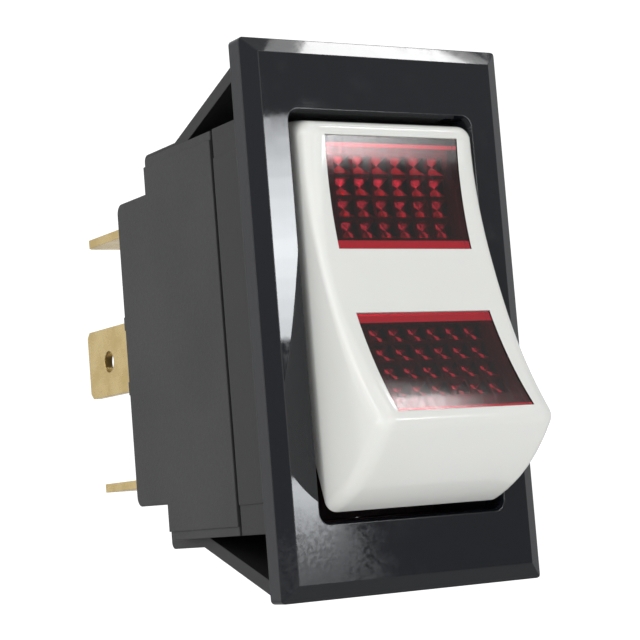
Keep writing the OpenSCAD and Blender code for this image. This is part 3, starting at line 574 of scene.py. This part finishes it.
# ---------------------------------------------------------------- lamps
# A clear glass lamp stands on the fibre sheet behind each window.
# Blown glass is never quite even, so its surface wanders a little.
lamp_glass = Finish("lamp_glass", Base_Color=(0.95, 0.93, 0.9), IOR=1.5, Transmission_Weight=1.0)
lamp_glass.set("Roughness", lamp_glass.patches(0.5, 2, 0.01, 0.04))
lamp_glass.relief(lamp_glass.noise(0.5), 0.01)
lamp_glass.lay_on("upper_lamp", "lower_lamp")

# ---------------------------------------------------------------- resistors
# A resistor lies beside each lamp and feeds it from the right throw terminal: a rod on two wires, dipped in
# tan lacquer, with two dark red rings painted round it at these distances from the middle, in millimetres.
ring_places = (8.7, 7.6)
tan_lacquer, ring_red = (0.42, 0.30, 0.17), (0.25, 0.03, 0.02)
resistor_tan = Finish("resistor_lacquer", Roughness=0.35)
along = resistor_tan.z.size()
first_ring, second_ring = ((along - place).size().step(0.25, 0.3, 1, 0) for place in ring_places)
resistor_tan.set("Base Color", first_ring.most(second_ring).mix(tan_lacquer, ring_red))
resistor_tan.relief(resistor_tan.noise(2, 3), 0.02)
resistor_tan.lay_on("upper_resistor", "lower_resistor")

# ---------------------------------------------------------------- lamp leads and plunger springs
# Each lamp's other lead is tinned copper wire. It goes through the fibre sheet and round the end of a bar
# to the left throw terminal. The plungers' springs are wound from plated wire of the same dull silver colour.
tinned_wire = Finish("tinned_wire", Metallic=1.0)
tinned_wire.set("Base Color", tinned_wire.patches(2, 3, (0.55, 0.55, 0.55), (0.7, 0.7, 0.69)))
tinned_wire.set("Roughness", tinned_wire.patches(4, 3, 0.22, 0.4))
tinned_wire.relief(tinned_wire.noise(6), 0.006)
tinned_wire.lay_on("upper_lamp_lead", "lower_lamp_lead", "left_plunger_spring", "right_plunger_spring")

# ---------------------------------------------------------------- plungers
# A plunger slides in each sleeve of the carrier, and its spring pushes it against a contact bar.
# It is turned from natural nylon rod, a little clear at its edges.
nylon = Finish("nylon", Roughness=0.4, Subsurface_Weight=0.2, Subsurface_Scale=0.001)
nylon.set("Base Color", nylon.patches(0.3, 2, (0.78, 0.74, 0.62), (0.70, 0.66, 0.54)))
nylon.relief(nylon.noise(4), 0.01)
nylon.lay_on("left_plunger", "right_plunger")

# ---------------------------------------------------------------- terminals
# Each tab is stamped from bright rolled brass, pushed through the floor of the base, and punched for a connector.
# Rolling leaves fine lines along the strip; handling leaves faint dull patches.
bright_brass, dull_brass = (0.80, 0.62, 0.29), (0.70, 0.52, 0.22)
brass = Finish("rolled_brass", Metallic=1.0)
rolling = brass.noise(14.0, 3, at=brass.stretched(1, 0.04, 1))
handled = brass.noise(0.4, 3)
brass.set("Base Color", handled.step(0.35, 0.7).mix(bright_brass, dull_brass))
brass.set("Roughness", (rolling * 0.12 + handled * 0.25).step(0.1, 0.3, 0.2, 0.36))
brass.relief(rolling, 0.006, brass.edges(0.12))
brass.lay_on(*[f"{side}_{end}_terminal" for side in ("left", "right") for end in ("upper", "common", "lower")])

# ---------------------------------------------------------------- contact bars
# A bar rocks on each common terminal inside the base, and joins it to one throw terminal at a time.
# It is pressed from copper alloy strip, with the fine lines of rolling along it.
copper = Finish("copper_strip", Metallic=1.0)
strip_lines = copper.stretched(1, 1, 0.05)
copper.set("Base Color", copper.patches(0.5, 3, (0.80, 0.42, 0.25), (0.62, 0.30, 0.18)))
copper.set("Roughness", copper.patches(12, 2, 0.25, 0.4, at=strip_lines))
copper.relief(copper.noise(12, at=strip_lines), 0.006, copper.edges(0.1))
copper.lay_on("left_contact_bar", "right_contact_bar")

# ---------------------------------------------------------------- silver contacts
# Silver rivets with domed heads are set in the throw terminals and in both ends of each bar.
# Switching under load leaves them mottled.
silver = Finish("contact_silver", Metallic=1.0)
silver.set("Base Color", silver.patches(1.5, 3, (0.85, 0.84, 0.80), (0.6, 0.58, 0.53)))
silver.set("Roughness", silver.patches(3, 3, 0.2, 0.4))
silver.relief(silver.noise(5, 3), 0.008)
for side in ("left", "right"):
    for end in ("upper", "lower"):
        silver.lay_on(f"{side}_{end}_contact", f"{side}_bar_{end}_tip")
